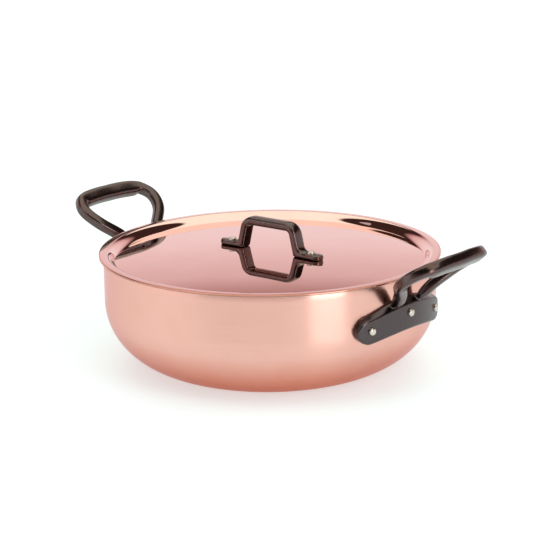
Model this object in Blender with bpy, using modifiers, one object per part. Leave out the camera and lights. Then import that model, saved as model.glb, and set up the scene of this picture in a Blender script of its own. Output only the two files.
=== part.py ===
"""Copper saute pan with two cast-iron side handles and a loose lid.

Units are metres and +Z is up. The origin is the centre of the flat base, on the table. The
side handles stand on the X axis, at +X and -X. The lid rests on the rim and lifts straight up.
"""

import math

import bmesh
import bpy
from mathutils import Vector

# Pan body
PAN_INNER_DIAMETER = 0.280
PAN_HEIGHT = 0.098
PAN_COPPER = 0.0015
PAN_STEEL = 0.0005
BASE_CURVE_WIDTH = 0.067
BASE_CURVE_HEIGHT = 0.0595
RIM_ROUNDING = 0.0002

# Lid
LID_COPPER = 0.0008
LID_STEEL = 0.0004
LID_OVERHANG = 0.0039
LID_EDGE_DROP = 0.0005
LID_CREST_INSET = 0.0018
LID_BAND_WIDTH = 0.008
LID_RECESS = 0.0065
LID_CROWN = 0.0040
LID_TURN = math.radians(2.8)

# Side handles, measured from the pan's wall and from the table
PLATE_THICKNESS = 0.0066
PLATE_END_RADIUS = 0.0116
PLATE_END_BEYOND = 0.0006
PLATE_END_HEIGHT = 0.0629
PLATE_MIDDLE_LOW = 0.0556
PLATE_MIDDLE_HIGH = 0.083
PLATE_LAND = 0.0012
PLATE_BEVEL_MIDDLE = 0.006
PLATE_BEVEL_END = 0.003
PLATE_EDGE_BEVEL = 0.0013
LOOP_REACH = 0.0525
RIGHT_LOOP_TOP = 0.1203
LEFT_LOOP_TOP = 0.1216
LOOP_HALF_WIDTH = 0.0426
LOOP_ROOT_SPACING = 0.0344
GRIP_BOW = 0.0019
GRIP_WIDTH = 0.0142
GRIP_DEPTH = 0.0109
ARM_WIDTH = 0.0098
ARM_DEPTH = 0.0093

# Lid handle, measured from the middle of the lid
LID_HANDLE_ASIDE = 0.0021
LID_HANDLE_LENGTH = 0.1074
LID_HANDLE_HEIGHT = 0.0282
LID_HANDLE_WIDTH = 0.0125
LID_HANDLE_BAR = 0.0075
LID_HANDLE_FOOT = 0.0044
LID_HANDLE_OPENING_TOP = 0.0432
LID_HANDLE_OPENING_FOOT = 0.0545
LID_HANDLE_SHOULDER = 0.009
LID_HANDLE_INNER_CORNER = 0.0025
LID_HANDLE_INSTEP = 0.005
LID_HANDLE_ROUNDING = 0.0013

# Rivets
RIVET_SHANK = 0.002
SIDE_RIVET_ARC = 0.0417
SIDE_RIVET_MIDDLE_HEIGHT = 0.0699
SIDE_RIVET_BUTTON = 0.0032
SIDE_RIVET_BUTTON_HEIGHT = 0.0026
SIDE_RIVET_HEAD = 0.0060
SIDE_RIVET_HEAD_HEIGHT = 0.0019
LID_RIVET_SHARE = 0.29
LID_RIVET_BUTTON = 0.0035
LID_RIVET_BUTTON_HEIGHT = 0.0024
LID_RIVET_HEAD = 0.0050
LID_RIVET_HEAD_HEIGHT = 0.0016

# Clearances
LAYER_GAP = 0.0003
SEAT_GAP = 0.0003
RIVET_GAP = 0.0003
CUT_MARGIN = 0.002

# Facets
TURNS = 56
CURVE_STEPS = 7
DISC_STEPS = 3
BAND_STEPS = 4
SMALL_TURNS = 12
LOOP_SIDES = 12
LOOP_STEPS = 3
MERGE = 0.00001

# Sizes that follow
PAN_INNER = PAN_INNER_DIAMETER / 2
PAN_OUTER = PAN_INNER + PAN_STEEL + LAYER_GAP + PAN_COPPER
LID_RADIUS = PAN_OUTER + LID_OVERHANG
LID_CREST_RADIUS = PAN_OUTER - LID_CREST_INSET
LID_CREASE_RADIUS = LID_CREST_RADIUS - LID_BAND_WIDTH
LID_CREST_TOP = PAN_HEIGHT + SEAT_GAP + LID_STEEL + LAYER_GAP + LID_COPPER
LID_MIDDLE_TOP = LID_CREST_TOP - LID_RECESS + LID_CROWN
PLATE_BACK = PAN_OUTER + SEAT_GAP
PLATE_FRONT = PLATE_BACK + PLATE_THICKNESS
SIDE_RIVET_ANGLE = SIDE_RIVET_ARC / PAN_OUTER
PLATE_END_ARC = SIDE_RIVET_ARC + PLATE_END_BEYOND
RIVET_HOLE = RIVET_SHANK + RIVET_GAP
LID_LEG_LEAN = (LID_HANDLE_OPENING_FOOT - LID_HANDLE_OPENING_TOP) / 2 / (LID_HANDLE_HEIGHT - LID_HANDLE_BAR)
LID_LEG = LID_HANDLE_BAR * math.sqrt(1 + LID_LEG_LEAN ** 2)
LID_LEG_FOOT = LID_HANDLE_OPENING_FOOT / 2 - LID_LEG_LEAN * LID_HANDLE_FOOT + LID_LEG
LID_INSTEP_END = LID_LEG_FOOT + LID_HANDLE_INSTEP / math.tan(math.pi / 4 + math.atan(LID_LEG_LEAN) / 2)
# A rivet stands at this share of the way from the instep's end to the end of the foot
LID_RIVET_AT = LID_INSTEP_END + LID_RIVET_SHARE * (LID_HANDLE_LENGTH / 2 - LID_INSTEP_END)

COPPER = (0.86, 0.52, 0.42, 1.0)
STEEL = (0.78, 0.77, 0.75, 1.0)
IRON = (0.045, 0.04, 0.04, 1.0)


def collection(name):
    made = bpy.data.collections.new(name)
    bpy.context.scene.collection.children.link(made)
    return made


def material(name, color, roughness, metallic):
    made = bpy.data.materials.new(name)
    made.use_nodes = True
    shader = made.node_tree.nodes["Principled BSDF"]
    shader.inputs["Base Color"].default_value = color
    shader.inputs["Roughness"].default_value = roughness
    shader.inputs["Metallic"].default_value = metallic
    made.diffuse_color = color
    return made


def add_object(name, data, group, parent=None, finish=None):
    made = bpy.data.objects.new(name, data)
    group.objects.link(made)
    made.parent = parent
    if finish:
        data.materials.append(finish)
    return made


def guide(made):
    """A cutter or a joining body: kept as a wire outline and left out of the part."""
    made.hide_render = True
    made.display_type = "WIRE"
    return made


def offset_profile(points, distance):
    """The profile moved sideways by distance, to the left of its direction of travel."""
    moved = []
    for i, point in enumerate(points):
        here = Vector(point)
        before = (here - Vector(points[i - 1])).normalized() if i else None
        after = (Vector(points[i + 1]) - here).normalized() if i + 1 < len(points) else None
        before = before or after
        after = after or before
        along = (before + after).normalized()
        side = Vector((-along.y, along.x))
        moved.append(tuple(here + side * distance / along.dot(after)))
    return [(max(x, 0.0) if abs(x) > MERGE else 0.0, z) for x, z in moved]


def turned_mesh(name, profile):
    mesh = bpy.data.meshes.new(name)
    points = [(x, 0.0, z) for x, z in profile]
    mesh.from_pydata(points, [(i, i + 1) for i in range(len(points) - 1)], [])
    return mesh


def turn(made, steps):
    screw = made.modifiers.new("turn", "SCREW")
    screw.steps = steps
    screw.render_steps = steps
    screw.use_merge_vertices = True
    screw.merge_threshold = MERGE
    screw.use_smooth_shade = True
    return made


def turned_shell(name, profile, wall, group, parent, finish):
    """A sheet-metal shell: an open profile turned about Z and thickened to its inner side."""
    made = turn(add_object(name, turned_mesh(name, profile), group, parent, finish), TURNS)
    shell = made.modifiers.new("sheet", "SOLIDIFY")
    shell.thickness = wall
    shell.offset = -1
    shell.use_even_offset = True
    rounding = made.modifiers.new("cut edge", "BEVEL")
    rounding.limit_method = "ANGLE"
    rounding.angle_limit = math.radians(60)
    rounding.width = RIM_ROUNDING
    rounding.segments = 1
    return made


def pan_profile(inset):
    """The body's side from the rim down to the middle of the base, inset from the outside."""
    wide = BASE_CURVE_WIDTH - inset
    high = BASE_CURVE_HEIGHT - inset
    centre = PAN_OUTER - BASE_CURVE_WIDTH
    points = [(PAN_OUTER - inset, PAN_HEIGHT)]
    for i in range(CURVE_STEPS + 1):
        angle = math.pi / 2 * i / CURVE_STEPS
        across = centre + wide * math.cos(angle)
        points.append((across, BASE_CURVE_HEIGHT - high * math.sin(angle)))
    points.append((0.0, inset))
    return points


def wall_radius(profile, height):
    """The radius at which a side profile passes a height, read between its points."""
    for (outer, high), (inner, low) in zip(profile, profile[1:]):
        if low <= height <= high:
            return inner + (outer - inner) * (height - low) / (high - low)
    return profile[0][0]


def lid_top(radius):
    """Height of the lid's top face: a crowned disc, a rising band and a drooping flange."""
    floor = LID_CREST_TOP - LID_RECESS
    if radius <= LID_CREASE_RADIUS:
        return floor + LID_CROWN * (1 - (radius / LID_CREASE_RADIUS) ** 2)
    if radius <= LID_CREST_RADIUS:
        share = (LID_CREST_RADIUS - radius) / LID_BAND_WIDTH
        bend = 0.8 * math.pi
        return LID_CREST_TOP - LID_RECESS * (1 - math.cos(bend * share)) / (1 - math.cos(bend))
    share = (radius - LID_CREST_RADIUS) / (LID_RADIUS - LID_CREST_RADIUS)
    return LID_CREST_TOP - LID_EDGE_DROP * share ** 2


def lid_profile(depth):
    """The lid from its middle out to its edge, lowered squarely by depth."""
    radii = [LID_CREASE_RADIUS * i / DISC_STEPS for i in range(DISC_STEPS + 1)]
    radii += [LID_CREASE_RADIUS + LID_BAND_WIDTH * i / BAND_STEPS for i in range(1, BAND_STEPS + 1)]
    radii += [LID_CREST_RADIUS + (LID_RADIUS - LID_CREST_RADIUS) * share for share in (0.5, 1.0)]
    top = [(radius, lid_top(radius)) for radius in radii]
    return offset_profile(top, -depth)


def loft(name, rings):
    """A closed skin over rings of equal count, with a flat face at each end."""
    shape = bmesh.new()
    rows = [[shape.verts.new(point) for point in ring] for ring in rings]
    for low, high in zip(rows, rows[1:]):
        for i in range(len(low)):
            j = (i + 1) % len(low)
            shape.faces.new((low[i], low[j], high[j], high[i]))
    shape.faces.new(rows[0])
    shape.faces.new(rows[-1])
    bmesh.ops.recalc_face_normals(shape, faces=shape.faces)
    mesh = bpy.data.meshes.new(name)
    shape.to_mesh(mesh)
    shape.free()
    return mesh


def plate_ring(arc, low, high, bevel, inset):
    """One upright section of the handle's plate, at a distance along the pan's wall."""
    angle = arc / PAN_OUTER
    front = PLATE_FRONT - inset
    under = min(PLATE_EDGE_BEVEL, (high - low) / 4)
    drop = min(bevel, (high - low) / 3)
    section = [
        (PLATE_BACK, low),
        (PLATE_BACK, high),
        (PLATE_BACK + PLATE_LAND, high),
        (front, high - drop),
        (front, low + under),
        (front - under, low),
    ]
    return [(x * math.cos(angle), x * math.sin(angle), z) for x, z in section]


def plate_mesh():
    """The riveted plate: bent to the wall, arched in the middle, with drooping round ends."""
    stations = []
    for share in (0.97, 0.85, 0.62, 0.33):
        reach = PLATE_END_RADIUS * share
        half = math.sqrt(PLATE_END_RADIUS ** 2 - reach ** 2)
        inset = PLATE_EDGE_BEVEL * max(0.0, share - 0.6) / 0.4
        middle = PLATE_END_HEIGHT
        station = (PLATE_END_ARC + reach, middle - half, middle + half, PLATE_BEVEL_END, inset)
        stations.append(station)
    for i in range(7):
        arc = PLATE_END_ARC * (1 - i / 6)
        rise = math.sin(math.pi / 2 * i / 6)
        low_end = PLATE_END_HEIGHT - PLATE_END_RADIUS
        high_end = PLATE_END_HEIGHT + PLATE_END_RADIUS
        low = low_end + (PLATE_MIDDLE_LOW - low_end) * rise
        high = high_end + (PLATE_MIDDLE_HIGH - high_end) * rise
        bevel = PLATE_BEVEL_END + (PLATE_BEVEL_MIDDLE - PLATE_BEVEL_END) * rise
        stations.append((arc, low, high, bevel, 0.0))
    mirrored = [(-arc, *rest) for arc, *rest in reversed(stations[:-1])]
    return loft("plate", [plate_ring(*station) for station in stations + mirrored])


def spline(points, steps):
    """A Catmull-Rom curve through points given as tuples of any length."""
    ends = [[2 * a - b for a, b in zip(points[0], points[1])]]
    ends += [list(point) for point in points]
    ends += [[2 * a - b for a, b in zip(points[-1], points[-2])]]
    curve = []
    for i in range(1, len(ends) - 2):
        p0, p1, p2, p3 = ends[i - 1:i + 3]
        for k in range(steps):
            t = k / steps
            row = []
            for a, b, c, d in zip(p0, p1, p2, p3):
                bend = (c - a) * t + (2 * a - 5 * b + 4 * c - d) * t * t
                bend += (3 * b - a - 3 * c + d) * t ** 3
                row.append(b + bend / 2)
            curve.append(row)
    curve.append(list(points[-1]))
    return curve


def loop_mesh(top):
    """The cast loop: flared roots in the plate, tapering arms and a thick, bowed grip."""
    root = LOOP_ROOT_SPACING / 2
    low = PLATE_MIDDLE_HIGH - PLATE_BEVEL_MIDDLE
    rise = top - low
    grip = PAN_OUTER + LOOP_REACH
    reach = grip - PLATE_FRONT
    flare = LOOP_HALF_WIDTH - root
    in_plate = PLATE_BACK + PLATE_THICKNESS / 2

    def arm(out, wide, up, width, depth):
        """A station of the arm, at shares of the loop's reach, flare and rise."""
        return (PLATE_FRONT + reach * out, root + flare * wide, low + rise * up, width / 2, depth / 2)

    half = [
        (in_plate, root * 0.92, low - rise * 0.10, ARM_WIDTH * 0.62, ARM_DEPTH * 0.22),
        arm(0.01, 0.0, 0.07, ARM_WIDTH * 1.3, ARM_DEPTH * 0.96),
        arm(0.16, 0.24, 0.32, ARM_WIDTH, ARM_DEPTH),
        arm(0.40, 0.82, 0.615, ARM_WIDTH, ARM_DEPTH),
        arm(0.68, 1.027, 0.83, ARM_WIDTH, ARM_DEPTH),
        (grip - GRIP_BOW * 2.4, root + flare * 0.8, low + rise * 0.968, ARM_WIDTH * 0.51, ARM_DEPTH * 0.53),
        (grip - GRIP_BOW, root + flare * 0.487, low + rise * 0.983, GRIP_WIDTH * 0.48, GRIP_DEPTH * 0.49),
        (grip - GRIP_BOW * 0.3, LOOP_HALF_WIDTH * 0.36, top, GRIP_WIDTH / 2, GRIP_DEPTH / 2),
    ]
    middle = (grip, 0.0, top, GRIP_WIDTH / 2, GRIP_DEPTH / 2)
    other = [(x, -y, z, wide, deep) for x, y, z, wide, deep in reversed(half)]
    rows = spline(half + [middle] + other, LOOP_STEPS)
    lean = math.atan2(rise, reach)
    across = Vector((-math.sin(lean), 0.0, math.cos(lean)))
    rings = []
    for i, row in enumerate(rows):
        here = Vector(row[:3])
        after = Vector(rows[min(i + 1, len(rows) - 1)][:3])
        along = (after - Vector(rows[max(i - 1, 0)][:3])).normalized()
        side = along.cross(across).normalized()
        over = side.cross(along)
        ring = []
        for k in range(LOOP_SIDES):
            angle = 2 * math.pi * (k + 0.5) / LOOP_SIDES
            wide = math.copysign(abs(math.cos(angle)) ** 0.8, math.cos(angle)) * row[3]
            deep = math.copysign(abs(math.sin(angle)) ** 0.8, math.sin(angle)) * row[4]
            ring.append(here + side * wide + over * deep)
        rings.append(ring)
    return loft("loop", rings)


def rounded(corners, steps):
    """An outline through corners given as (x, z, radius), each corner an arc of that radius."""
    outline = []
    for i, (x, z, radius) in enumerate(corners):
        here = Vector((x, z))
        before = (Vector(corners[i - 1][:2]) - here).normalized()
        after = (Vector(corners[(i + 1) % len(corners)][:2]) - here).normalized()
        if radius == 0:
            outline.append(here)
            continue
        half = before.angle(after) / 2
        centre = here + (before + after).normalized() * radius / math.sin(half)
        start = here + before * radius / math.tan(half) - centre
        end = here + after * radius / math.tan(half) - centre
        for k in range(steps + 1):
            outline.append(centre + start.slerp(end, k / steps) * radius)
    return outline


def flat_outline(name, outline, thickness, group):
    """A flat closed outline in the curve's own XY plane, thickened both ways."""
    curve = bpy.data.curves.new(name, "CURVE")
    curve.dimensions = "2D"
    curve.fill_mode = "BOTH"
    curve.extrude = thickness / 2
    strand = curve.splines.new("POLY")
    strand.points.add(len(outline) - 1)
    for point, (x, y) in zip(strand.points, outline):
        point.co = (x, y, 0.0, 1.0)
    strand.use_cyclic_u = True
    made = bpy.data.objects.new(name, curve)
    group.objects.link(made)
    return made


def as_mesh(made, group, parent=None, finish=None):
    """The curve object as a welded mesh object of the same name and place."""
    bpy.context.view_layer.update()
    seen = made.evaluated_get(bpy.context.evaluated_depsgraph_get())
    mesh = bpy.data.meshes.new_from_object(seen)
    shape = bmesh.new()
    shape.from_mesh(mesh)
    bmesh.ops.remove_doubles(shape, verts=shape.verts, dist=MERGE)
    bmesh.ops.recalc_face_normals(shape, faces=shape.faces)
    shape.to_mesh(mesh)
    shape.free()
    name = made.name
    place = made.matrix_world.copy()
    bpy.data.objects.remove(made)
    mesh.transform(place)
    return add_object(name, mesh, group, parent, finish)


def lid_handle_outline():
    """The lid handle from the side: two feet, two leaning legs and a flat top bar."""
    end = LID_HANDLE_LENGTH / 2 + CUT_MARGIN
    inner_foot = LID_HANDLE_OPENING_FOOT / 2
    inner_top = LID_HANDLE_OPENING_TOP / 2
    bar_low = LID_HANDLE_HEIGHT - LID_HANDLE_BAR
    outer_top = inner_foot - LID_LEG_LEAN * LID_HANDLE_HEIGHT + LID_LEG
    right = [
        (inner_top, bar_low, LID_HANDLE_INNER_CORNER),
        (inner_foot, 0.0, 0.0),
        (end, 0.0, 0.0),
        (end, LID_HANDLE_FOOT, 0.0),
        (LID_LEG_FOOT, LID_HANDLE_FOOT, LID_HANDLE_INSTEP),
        (outer_top, LID_HANDLE_HEIGHT, LID_HANDLE_SHOULDER),
    ]
    left = [(-x, z, radius) for x, z, radius in reversed(right)]
    return rounded(right + left, 4)


def stadium(length, width, steps):
    """A strip with round ends, seen from above."""
    radius = width / 2
    centre = length / 2 - radius
    outline = []
    for side, start in ((1, -math.pi / 2), (-1, math.pi / 2)):
        for i in range(steps + 1):
            angle = start + math.pi * i / steps
            outline.append((side * centre + radius * math.cos(angle), radius * math.sin(angle)))
    return outline


def rivet_mesh(name, button, button_height, grip, head, head_height):
    """A rivet on its own Z axis: a domed button at z = 0 and a low head beyond the grip."""
    profile = []
    for i in range(4):
        angle = math.pi / 2 * i / 3
        profile.append((button * math.sin(angle), button_height * math.cos(angle)))
    profile[-1] = (button, 0.0)
    profile += [(RIVET_SHANK, 0.0), (RIVET_SHANK, -grip), (head, -grip)]
    profile.append((head * 0.82, -grip - head_height * 0.7))
    profile.append((head * 0.45, -grip - head_height))
    profile.append((0.0, -grip - head_height))
    return turned_mesh(name, profile)


def cut(made, cutter, name="rivet hole", operation="DIFFERENCE"):
    tool = made.modifiers.new(name, "BOOLEAN")
    tool.operation = operation
    tool.object = cutter
    tool.solver = "EXACT"
    return made


def hole_cutter(name, length, group, parent):
    shape = bmesh.new()
    bmesh.ops.create_cone(
        shape, cap_ends=True, segments=SMALL_TURNS, radius1=RIVET_HOLE, radius2=RIVET_HOLE, depth=length
    )
    mesh = bpy.data.meshes.new(name)
    shape.to_mesh(mesh)
    shape.free()
    return guide(add_object(name, mesh, group, parent))


def build_side_handle(side, angle, top, parts, cutters, shells, iron, steel):
    """One casting and its three rivets, on an empty that carries them round the pan."""
    frame = bpy.data.objects.new(f"{side}_handle_frame", None)
    parts.objects.link(frame)
    frame.rotation_euler.z = angle
    handle = add_object(f"{side}_side_handle", plate_mesh(), parts, frame, iron)
    loop = guide(add_object(f"{side}_loop", loop_mesh(top), cutters, frame))
    cut(handle, loop, "cast loop", "UNION")
    inside = pan_profile(PAN_COPPER + LAYER_GAP + PAN_STEEL)
    button_seat = PLATE_FRONT + SEAT_GAP
    places = (
        ("near", -SIDE_RIVET_ANGLE, PLATE_END_HEIGHT),
        ("middle", 0.0, SIDE_RIVET_MIDDLE_HEIGHT),
        ("far", SIDE_RIVET_ANGLE, PLATE_END_HEIGHT),
    )
    for place, turned, height in places:
        name = f"{side}_rivet_{place}"
        wall = wall_radius(inside, height - SIDE_RIVET_HEAD) * math.cos(math.pi / TURNS)
        grip = button_seat - math.sqrt(wall ** 2 - SIDE_RIVET_HEAD ** 2) + SEAT_GAP
        mesh = rivet_mesh(
            name, SIDE_RIVET_BUTTON, SIDE_RIVET_BUTTON_HEIGHT, grip, SIDE_RIVET_HEAD, SIDE_RIVET_HEAD_HEIGHT
        )
        rivet = turn(add_object(name, mesh, parts, frame, steel), SMALL_TURNS)
        out = Vector((math.cos(turned), math.sin(turned), 0.0))
        rivet.rotation_euler = (0.0, math.pi / 2, turned)
        rivet.location = out * button_seat + Vector((0.0, 0.0, height))
        hole = hole_cutter(f"{name}_hole", grip + 2 * CUT_MARGIN, cutters, frame)
        hole.rotation_euler = rivet.rotation_euler
        hole.location = out * (button_seat - grip / 2) + Vector((0.0, 0.0, height))
        for piece in [handle, *shells]:
            cut(piece, hole)


def build_lid(parts, cutters, copper, steel, iron):
    """The lid with its handle and rivets, on an empty at the middle of the seat."""
    frame = bpy.data.objects.new("lid_frame", None)
    parts.objects.link(frame)
    frame.location.z = PAN_HEIGHT
    frame.rotation_euler.z = LID_TURN

    def lowered(profile):
        return [(x, z - PAN_HEIGHT) for x, z in profile]

    skin = lowered(lid_profile(0.0))
    lining = lowered(lid_profile(LID_COPPER + LAYER_GAP))
    shells = [
        turned_shell("lid_copper", skin, LID_COPPER, parts, frame, copper),
        turned_shell("lid_steel_lining", lining, LID_STEEL, parts, frame, steel),
    ]
    base = LID_MIDDLE_TOP + SEAT_GAP - PAN_HEIGHT
    outline = lid_handle_outline()
    side_view = flat_outline("lid_handle", outline, 2 * LID_HANDLE_WIDTH, parts)
    side_view.rotation_euler.x = math.pi / 2
    handle = as_mesh(side_view, parts, frame, iron)
    handle.location = (0.0, LID_HANDLE_ASIDE, base)
    strip = stadium(LID_HANDLE_LENGTH, LID_HANDLE_WIDTH, 8)
    plan = flat_outline("lid_handle_plan", strip, 4 * LID_HANDLE_HEIGHT, cutters)
    plan = guide(as_mesh(plan, cutters, frame))
    plan.location = (0.0, LID_HANDLE_ASIDE, base)
    cut(handle, plan, "round feet", "INTERSECT")
    rounding = handle.modifiers.new("cast edges", "BEVEL")
    rounding.limit_method = "ANGLE"
    rounding.angle_limit = math.radians(50)
    rounding.width = LID_HANDLE_ROUNDING
    rounding.segments = 2
    button_seat = base + LID_HANDLE_FOOT + SEAT_GAP
    out = math.hypot(LID_RIVET_AT, LID_HANDLE_ASIDE) + LID_RIVET_HEAD
    sheet = LID_COPPER + LAYER_GAP + LID_STEEL
    grip = button_seat - (lid_top(out) - PAN_HEIGHT - sheet - SEAT_GAP)
    for place, x in (("right", LID_RIVET_AT), ("left", -LID_RIVET_AT)):
        name = f"lid_rivet_{place}"
        mesh = rivet_mesh(
            name, LID_RIVET_BUTTON, LID_RIVET_BUTTON_HEIGHT, grip, LID_RIVET_HEAD, LID_RIVET_HEAD_HEIGHT
        )
        rivet = turn(add_object(name, mesh, parts, frame, steel), SMALL_TURNS)
        rivet.location = (x, LID_HANDLE_ASIDE, button_seat)
        hole = hole_cutter(f"{name}_hole", grip + 2 * CUT_MARGIN, cutters, frame)
        hole.location = (x, LID_HANDLE_ASIDE, button_seat - grip / 2)
        for piece in [handle, *shells]:
            cut(piece, hole)


def build():
    for old in list(bpy.data.objects):
        bpy.data.objects.remove(old, do_unlink=True)
    parts = collection("saute_pan")
    cutters = collection("cutters")
    copper = material("copper", COPPER, 0.16, 1.0)
    steel = material("stainless_steel", STEEL, 0.25, 1.0)
    iron = material("cast_iron", IRON, 0.42, 1.0)

    inside = pan_profile(PAN_COPPER + LAYER_GAP)
    shells = [
        turned_shell("pan_copper", pan_profile(0.0), PAN_COPPER, parts, None, copper),
        turned_shell("pan_steel_lining", inside, PAN_STEEL, parts, None, steel),
    ]
    build_side_handle("right", 0.0, RIGHT_LOOP_TOP, parts, cutters, shells, iron, steel)
    build_side_handle("left", math.pi, LEFT_LOOP_TOP, parts, cutters, shells, iron, steel)
    build_lid(parts, cutters, copper, steel, iron)


build()
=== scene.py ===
"""The copper saute pan with its lid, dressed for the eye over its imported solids."""

import math

import bmesh
import bpy
import numpy as np
from bpy.props import FloatProperty, PointerProperty, StringProperty
from mathutils import Matrix, Vector


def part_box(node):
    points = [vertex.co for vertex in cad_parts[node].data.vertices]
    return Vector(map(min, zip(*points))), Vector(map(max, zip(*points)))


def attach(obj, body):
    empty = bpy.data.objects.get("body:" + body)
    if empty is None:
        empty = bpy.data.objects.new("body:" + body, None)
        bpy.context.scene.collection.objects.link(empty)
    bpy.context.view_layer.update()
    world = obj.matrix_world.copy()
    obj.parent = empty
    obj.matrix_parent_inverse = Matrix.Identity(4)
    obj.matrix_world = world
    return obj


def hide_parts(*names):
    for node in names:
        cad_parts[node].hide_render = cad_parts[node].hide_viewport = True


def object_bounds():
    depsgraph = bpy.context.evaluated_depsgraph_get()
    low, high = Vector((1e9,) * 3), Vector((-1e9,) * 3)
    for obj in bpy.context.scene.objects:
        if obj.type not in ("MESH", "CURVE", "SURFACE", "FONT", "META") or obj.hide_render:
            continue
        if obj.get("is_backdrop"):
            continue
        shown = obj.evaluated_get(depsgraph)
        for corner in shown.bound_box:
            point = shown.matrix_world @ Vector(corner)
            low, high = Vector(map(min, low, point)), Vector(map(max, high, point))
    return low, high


bl_info = {
    "name": "Copper Saute Pan",
    "version": (1, 0, 0),
    "blender": (4, 5, 0),
    "location": "View3D > Sidebar > Saute Pan",
    "description": "Builds a lidded copper saute pan with cast-iron handles in a plain studio",
    "category": "Add Mesh",
}

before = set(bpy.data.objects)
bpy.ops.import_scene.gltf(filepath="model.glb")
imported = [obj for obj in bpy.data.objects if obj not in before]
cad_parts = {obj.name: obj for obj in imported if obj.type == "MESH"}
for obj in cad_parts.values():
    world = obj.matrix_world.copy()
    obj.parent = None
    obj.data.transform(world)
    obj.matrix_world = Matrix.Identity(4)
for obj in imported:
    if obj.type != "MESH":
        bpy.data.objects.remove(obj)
CAD_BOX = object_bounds()
PAN_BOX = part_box("pan_copper")
LID_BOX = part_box("lid_copper")
LID_CREST = LID_BOX[1][2]

# Details that nobody would change, in metres: how far the pan's rolled rim stands up, and how far
# a copper sheet reaches into the steel below it, so that no light slips between them
RIM_ROLL = 0.0006
OVERLAP = 0.00005

# Steps once round each turned piece
PAN_STEPS = 288
LID_STEPS = 320
RIVET_STEPS = 64
TABLE_STEPS = 96

# Decimals of a metre to which points are rounded, and the angle past which an edge stays sharp
WELD_DIGITS = 7
SHARP_ANGLE = math.radians(40.0)

SENSOR_WIDTH = 36.0  # Of the camera, in millimetres


# Sizes and colours that a user would change

def length(name, description, default, low=0.0):
    return FloatProperty(
        name=name, description=description, default=default, min=low, precision=5, unit="LENGTH"
    )


def angle(name, description, default):
    return FloatProperty(
        name=name, description=description, default=math.radians(default), unit="ROTATION"
    )


def hex_colour(name, description, default):
    return StringProperty(name=name, description=description, default=default)


class PanSizes(bpy.types.PropertyGroup):
    """Sizes of the pan's body"""

    radius: length("Outer radius", "Outside of the wall", (PAN_BOX[1][0] - PAN_BOX[0][0]) / 2)
    height: length("Height", "Base to rim", PAN_BOX[1][2])
    copper: length("Copper", "Thickness of the copper", 0.0020)
    wall: length("Whole wall", "Copper and steel together", 0.0023)
    curve_width: length("Curve width", "How far the lower edge curves in", 0.067)
    curve_height: length("Curve height", "How high the lower edge curves up", 0.0595)


class LidSizes(bpy.types.PropertyGroup):
    """Sizes of the lid"""

    radius: length("Outer radius", "Outside of the flange", 0.1462)
    crest_radius: length("Crest radius", "Highest ring of the flange", 0.1405)
    band: length("Band", "Width of the rising band", 0.008)
    recess: length("Recess", "Crest down to the foot of the band", 0.0065)
    crown: length("Crown", "Rise of the disc's middle", 0.0040)
    edge_drop: length("Edge drop", "Droop of the flange's edge", 0.0002)
    copper: length("Copper", "Thickness of the copper", 0.0013)
    sheet: length("Whole sheet", "Copper and steel together", 0.0015)
    turn: angle("Turn", "How far the lid is turned on the pan", 2.8)


class LidHandleSizes(bpy.types.PropertyGroup):
    """Sizes of the lid's handle"""

    length: length("Length", "Foot to foot", 0.1074)
    height: length("Height", "Feet to the top of the bar", 0.0282)
    width: length("Width", "Across the bar", 0.0125)
    bar: length("Bar", "Thickness of the bar", 0.0075)
    foot: length("Foot", "Thickness of a foot", 0.0044)
    opening_top: length("Opening at the top", "Width under the bar", 0.0432)
    opening_foot: length("Opening at the feet", "Width on the lid", 0.0532)
    shoulder: length("Shoulder", "Outer radius of the upper corners", 0.0125)
    inner_corner: length("Inner corner", "Inner radius of the upper corners", 0.0032)
    instep: length("Instep", "Radius between leg and foot", 0.007)
    aside: length("Aside", "Handle's line to the lid's middle", 0.0021)


class SideHandleSizes(bpy.types.PropertyGroup):
    """Sizes of the side handles"""

    gap: length("Gap", "Plate to wall", 0.0003)
    plate: length("Plate", "Thickness of the riveted plate", 0.0066)
    end_radius: length("End radius", "Half the height of the plate's ends", 0.0116)
    end_arc: length("End arc", "Middle of the plate to the middle of its end", 0.0423)
    end_height: length("End height", "Table to the plate's end", 0.0629)
    middle_low: length("Lower edge", "Table to the arch's crown", 0.0556)
    middle_high: length("Upper edge", "Table to the plate's top", 0.083)
    reach: length("Reach", "Wall to the grip", 0.0525)
    top: length("Grip height", "Table to the middle of the grip", 0.1203)
    left_rise: length("Left rise", "How much higher the left loop stands", 0.0013)
    half_width: length("Half width", "Half the loop's width", 0.0426)
    root: length("Root", "Half the distance of the arms at the plate", 0.0172)
    bow: length("Bow", "How far the grip bows out", 0.0019)
    grip_width: length("Grip width", "Across the grip", 0.0143)
    grip_depth: length("Grip depth", "Through the grip", 0.0110)
    arm_width: length("Arm width", "Across an arm", 0.0099)
    arm_depth: length("Arm depth", "Through an arm", 0.0094)


class RivetSizes(bpy.types.PropertyGroup):
    """Sizes of the rivets"""

    arc: length("Spacing", "Middle rivet to an outer one, along the wall", 0.0417)
    middle_height: length("Middle height", "Table to the middle rivet", 0.0699)
    button: length("Button", "Radius of a button", 0.0032)
    rise: length("Rise", "Height of a button", 0.0026)
    lid_button: length("Lid button", "Radius of a button on the lid", 0.0035)
    lid_rise: length("Lid rise", "Height of a button on the lid", 0.0024)
    lid_inset: length("Lid inset", "Rivet to the end of the foot", 0.0114)
    head: length("Head", "Radius of a head inside", 0.006)


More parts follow.
